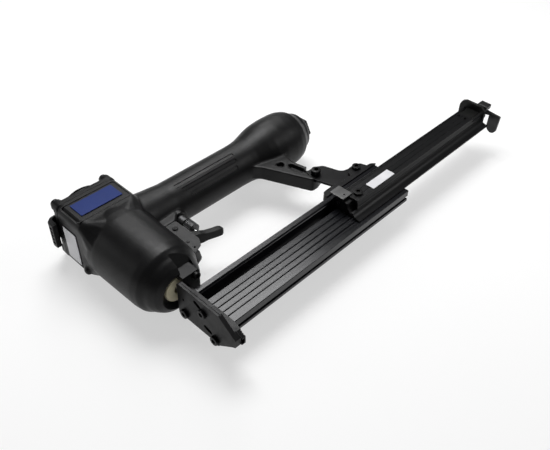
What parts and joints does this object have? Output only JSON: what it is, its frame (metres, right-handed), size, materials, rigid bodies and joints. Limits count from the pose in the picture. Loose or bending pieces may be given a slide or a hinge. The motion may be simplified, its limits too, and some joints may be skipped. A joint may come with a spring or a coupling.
{
  "type": "pneumatic flooring nailer",
  "caption": "Air nailer with a round barrel, side handle and a side-loading magazine whose slider is drawn out.",
  "frame": {"origin": "middle of the box's footprint, on the surface under the lower flank", "axes": "+X back along handle and magazine, +Y from the nose to the cap, +Z out of the upper flank"},
  "size_m": [0.448, 0.217, 0.068],
  "materials": {
    "cast_body": "satin black powder coat on a cast housing",
    "nose_steel": "black oxide steel, satin",
    "anodised_rail": "dark anodised extrusion",
    "screw_black": "black oxide socket screws",
    "bright_steel": "ground bright steel",
    "valve_body": "knurled turned metal, darkened",
    "sleeve": "honed sleeve",
    "spring_steel": "spring wire",
    "seal_rubber": "black nitrile",
    "bumper_urethane": "cream urethane",
    "black_plastic": "moulded black plastic",
    "end_fittings": "black end cap and hex bush",
    "end_plate": "black stamped plate",
    "latch_steel": "dark stamped steel",
    "grey_tab": "plain grey stop tab",
    "blue_plate": "plain blue plate, no marking",
    "grey_plate": "plain light grey plate, no marking"
  },
  "bodies": {
    "tool": {"housing": "cast_body", "cylinder_cap": "cast_body", "nose_body": "nose_steel", "nose_front_plate": "nose_steel", "magazine_bracket": "nose_steel", "rail_clamp": "nose_steel", "trigger_plates": "nose_steel", "magazine_rail": "anodised_rail", "cap_screws": "screw_black", "deflector_screw": "screw_black", "nose_screws": "screw_black", "nose_flange_screws": "screw_black", "bracket_screws": "screw_black", "trigger_valve_body": "valve_body", "cylinder_sleeve": "sleeve", "head_valve_spring": "spring_steel", "trigger_valve_spring": "spring_steel", "cap_gasket": "seal_rubber", "sleeve_rings": "seal_rubber", "end_cap_ring": "seal_rubber", "trigger_valve_ring": "seal_rubber", "bumper": "bumper_urethane", "exhaust_deflector": "black_plastic", "end_cap": "end_fittings", "air_inlet": "end_fittings", "trigger_pin": "latch_steel", "plate_rivets": "latch_steel", "head_plate": "blue_plate", "front_plate": "grey_plate"},
    "slider": {"slider_cover": "anodised_rail", "slider_tab": "grey_tab", "slider_screw": "screw_black", "slider_end_plate": "end_plate", "end_plate_screws": "screw_black", "pusher_rod": "bright_steel", "pusher_spring": "spring_steel", "latch_pin": "latch_steel", "latch_spring": "spring_steel", "slider_plate": "grey_plate"},
    "pusher": {"pusher": "black_plastic"},
    "latch": {"latch_lever": "latch_steel"},
    "trigger": {"trigger": "black_plastic"},
    "trigger_stem": {"trigger_valve_stem": "bright_steel"},
    "driver": {"piston": "sleeve", "piston_ring": "seal_rubber", "driver_blade": "bright_steel"},
    "head_valve": {"head_valve": "bumper_urethane", "head_valve_ring": "seal_rubber"}
  },
  "joints": [
    {"name": "trigger_pull", "type": "hinge", "parent": "tool", "child": "trigger", "pos_m": [-0.1475, 0.0175, 0.034], "axis": [0, 0, 1], "range_deg": [0, 12], "stiffness_Nm_per_rad": 0.3, "springref_deg": -17.19},
    {"name": "trigger_stem_slide", "type": "slide", "parent": "tool", "child": "trigger_stem", "axis": [0, 1, 0], "range_m": [0, 0.0043], "deforming": ["trigger_valve_spring"]},
    {"name": "driver_stroke", "type": "slide", "parent": "tool", "child": "driver", "axis": [0, -1, 0], "range_m": [0, 0.058]},
    {"name": "head_valve_slide", "type": "slide", "parent": "tool", "child": "head_valve", "axis": [0, 1, 0], "range_m": [0, 0.005], "stiffness_N_per_m": 800, "springref_m": -0.005, "deforming": ["head_valve_spring"]},
    {"name": "slider_slide", "type": "slide", "parent": "tool", "child": "slider", "axis": [1, 0, 0], "range_m": [-0.154, 0]},
    {"name": "pusher_slide", "type": "slide", "parent": "slider", "child": "pusher", "axis": [1, 0, 0], "range_m": [0, 0.15], "stiffness_N_per_m": 12, "springref_m": -0.25, "deforming": ["pusher_spring"]},
    {"name": "latch_turn", "type": "hinge", "parent": "slider", "child": "latch", "pos_m": [0.2195, -0.0715, 0.034], "axis": [0, 0, 1], "range_deg": [0, 14], "stiffness_Nm_per_rad": 0.2, "springref_deg": -17.19, "deforming": ["latch_spring"]}
  ],
  "couplings": [
    {"joint": "trigger_stem_slide", "follows": "trigger_pull", "m_per_rad": 0.02}
  ]
}
